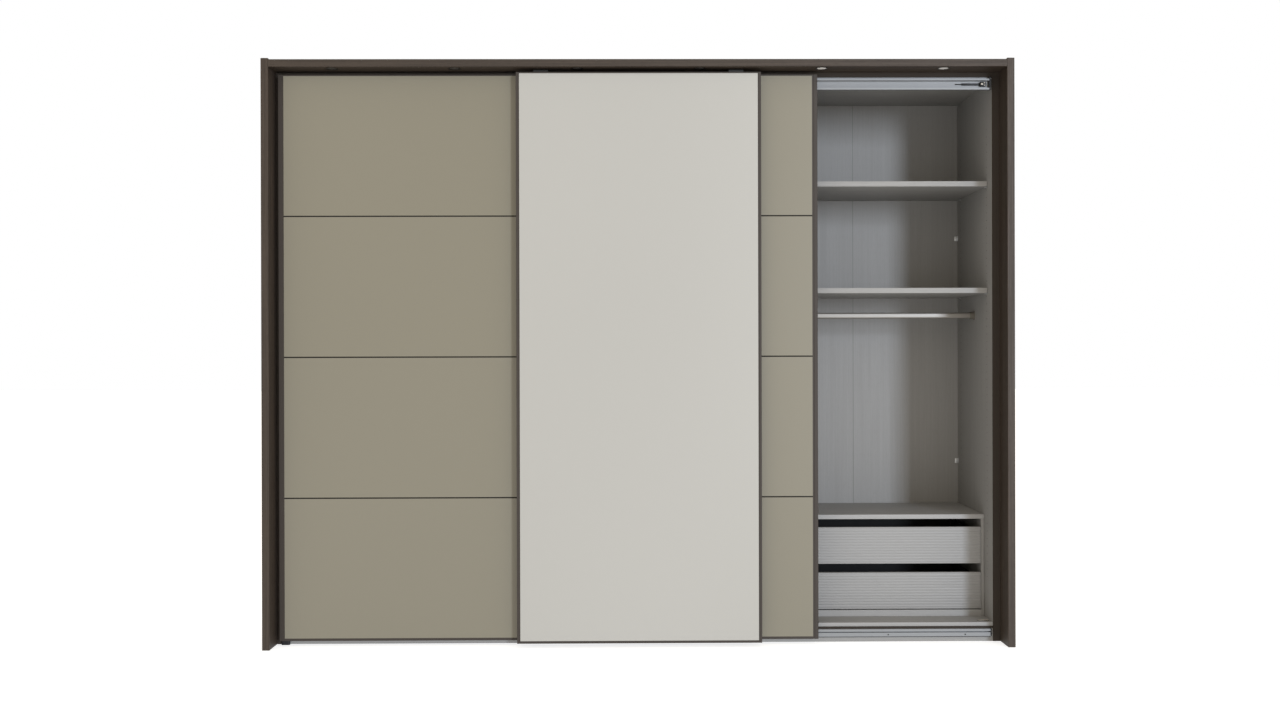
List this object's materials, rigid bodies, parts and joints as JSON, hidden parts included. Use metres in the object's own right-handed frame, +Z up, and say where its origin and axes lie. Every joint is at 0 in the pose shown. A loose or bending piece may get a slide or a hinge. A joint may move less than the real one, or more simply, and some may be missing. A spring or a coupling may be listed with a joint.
{
  "type": "sliding door wardrobe",
  "caption": "Wide wardrobe with hung sliding doors on a double track, a dark frame with spot lamps, shelves, clothes rails and a drawer insert.",
  "frame": {"origin": "middle of the footprint, on the floor", "axes": "+X to the right along the width, +Y to the back, +Z up"},
  "size_m": [3.06, 0.698, 2.4],
  "materials": {
    "frame_decor": "satin dark brown decor with fine upright grain",
    "frame_edge": "matte dark edge strip",
    "body_decor": "matte light grey textile decor",
    "back_decor": "matte light grey textile decor",
    "drawer_decor": "satin light grey, ribbed fronts",
    "insert_decor": "matte light grey",
    "sand_glass": "back-lacquered glass, satin sheen",
    "pale_glass": "back-lacquered glass, satin sheen",
    "door_backing": "matte grey backing board",
    "bronze_profile": "satin dark bronze anodised",
    "divider_dark": "matte dark profile in the gap between two glass panels",
    "drawer_steel": "anthracite powder-coated drawer box",
    "rail_aluminium": "satin clear anodised",
    "zinc_steel": "zinc plated",
    "black_steel": "black coated sheet steel",
    "chrome": "polished",
    "nylon": "matte dark nylon",
    "black_plastic": "matte black",
    "grey_plastic": "matte grey",
    "lamp_bezel": "satin",
    "lamp_lens": "frosted diffuser"
  },
  "bodies": {
    "carcass": {"back_fittings": "grey_plastic", "back_joint_strips": "back_decor", "back_panels": "back_decor", "bottom_panels": "body_decor", "bottom_rail": "rail_aluminium", "clothes_rail_brackets": "zinc_steel", "clothes_rails": "chrome", "cover_strips": "frame_edge", "drawer_runners": "zinc_steel", "feet": "black_plastic", "foot_adjuster_cap": "grey_plastic", "frame_packers": "black_plastic", "frame_stile_left": "frame_decor", "frame_stile_right": "frame_decor", "frame_top_board": "frame_decor", "insert_back": "drawer_steel", "insert_plinth": "insert_decor", "insert_sides": "insert_decor", "insert_top": "drawer_decor", "lamp_bezels": "lamp_bezel", "lamp_lenses": "lamp_lens", "partitions": "body_decor", "plinths": "body_decor", "rail_end_caps": "black_plastic", "shelf_pins": "zinc_steel", "shelves": "body_decor", "side_panel_left": "body_decor", "side_panel_right": "body_decor", "soft_close_dampers": "black_plastic", "top_panels": "body_decor", "top_rail": "rail_aluminium"},
    "left_door": {"left_door_board": "door_backing", "left_door_dividers": "divider_dark", "left_door_glass": "sand_glass", "left_door_guides": "zinc_steel", "left_door_hangers": "zinc_steel", "left_door_profiles": "bronze_profile"},
    "left_door_wheel_left": {"left_door_wheel_left": "nylon"},
    "left_door_wheel_right": {"left_door_wheel_right": "nylon"},
    "lower_drawer": {"lower_drawer_bottom": "drawer_steel", "lower_drawer_box": "drawer_steel", "lower_drawer_front": "drawer_decor"},
    "middle_door": {"middle_door_board": "door_backing", "middle_door_glass": "pale_glass", "middle_door_guides": "black_steel", "middle_door_hangers": "black_steel", "middle_door_profiles": "bronze_profile"},
    "middle_door_wheel_left": {"middle_door_wheel_left": "nylon"},
    "middle_door_wheel_right": {"middle_door_wheel_right": "nylon"},
    "right_door": {"right_door_board": "door_backing", "right_door_dividers": "divider_dark", "right_door_glass": "sand_glass", "right_door_guides": "zinc_steel", "right_door_hangers": "zinc_steel", "right_door_profiles": "bronze_profile"},
    "right_door_wheel_left": {"right_door_wheel_left": "nylon"},
    "right_door_wheel_right": {"right_door_wheel_right": "nylon"},
    "upper_drawer": {"upper_drawer_bottom": "drawer_steel", "upper_drawer_box": "drawer_steel", "upper_drawer_front": "drawer_decor"}
  },
  "joints": [
    {"name": "left_door_slide", "type": "slide", "parent": "carcass", "child": "left_door", "axis": [-1, 0, 0], "range_m": [-0.21, 0]},
    {"name": "left_door_wheel_left_roll", "type": "hinge", "parent": "left_door", "child": "left_door_wheel_left", "pos_m": [-1.38, -0.243, 2.3083], "axis": [0, -1, 0], "continuous": true},
    {"name": "left_door_wheel_right_roll", "type": "hinge", "parent": "left_door", "child": "left_door_wheel_right", "pos_m": [-0.58, -0.243, 2.3083], "axis": [0, -1, 0], "continuous": true},
    {"name": "middle_door_slide", "type": "slide", "parent": "carcass", "child": "middle_door", "axis": [-1, 0, 0], "range_m": [-0.975, 0.975]},
    {"name": "middle_door_wheel_left_roll", "type": "hinge", "parent": "middle_door", "child": "middle_door_wheel_left", "pos_m": [-0.4, -0.243, 2.3453], "axis": [0, -1, 0], "continuous": true},
    {"name": "middle_door_wheel_right_roll", "type": "hinge", "parent": "middle_door", "child": "middle_door_wheel_right", "pos_m": [0.4, -0.243, 2.3453], "axis": [0, -1, 0], "continuous": true},
    {"name": "right_door_slide", "type": "slide", "parent": "carcass", "child": "right_door", "axis": [-1, 0, 0], "range_m": [-0.743, 0.21]},
    {"name": "right_door_wheel_left_roll", "type": "hinge", "parent": "right_door", "child": "right_door_wheel_left", "pos_m": [-0.163, -0.243, 2.3083], "axis": [0, -1, 0], "continuous": true},
    {"name": "right_door_wheel_right_roll", "type": "hinge", "parent": "right_door", "child": "right_door_wheel_right", "pos_m": [0.637, -0.243, 2.3083], "axis": [0, -1, 0], "continuous": true},
    {"name": "upper_drawer_slide", "type": "slide", "parent": "carcass", "child": "upper_drawer", "axis": [0, -1, 0], "range_m": [0, 0.35]},
    {"name": "lower_drawer_slide", "type": "slide", "parent": "carcass", "child": "lower_drawer", "axis": [0, -1, 0], "range_m": [0, 0.35]}
  ],
  "couplings": [
    {"joint": "left_door_wheel_left_roll", "follows": "left_door_slide", "rad_per_m": 83.333},
    {"joint": "left_door_wheel_right_roll", "follows": "left_door_slide", "rad_per_m": 83.333},
    {"joint": "middle_door_wheel_left_roll", "follows": "middle_door_slide", "rad_per_m": 83.333},
    {"joint": "middle_door_wheel_right_roll", "follows": "middle_door_slide", "rad_per_m": 83.333},
    {"joint": "right_door_wheel_left_roll", "follows": "right_door_slide", "rad_per_m": 83.333},
    {"joint": "right_door_wheel_right_roll", "follows": "right_door_slide", "rad_per_m": 83.333}
  ]
}
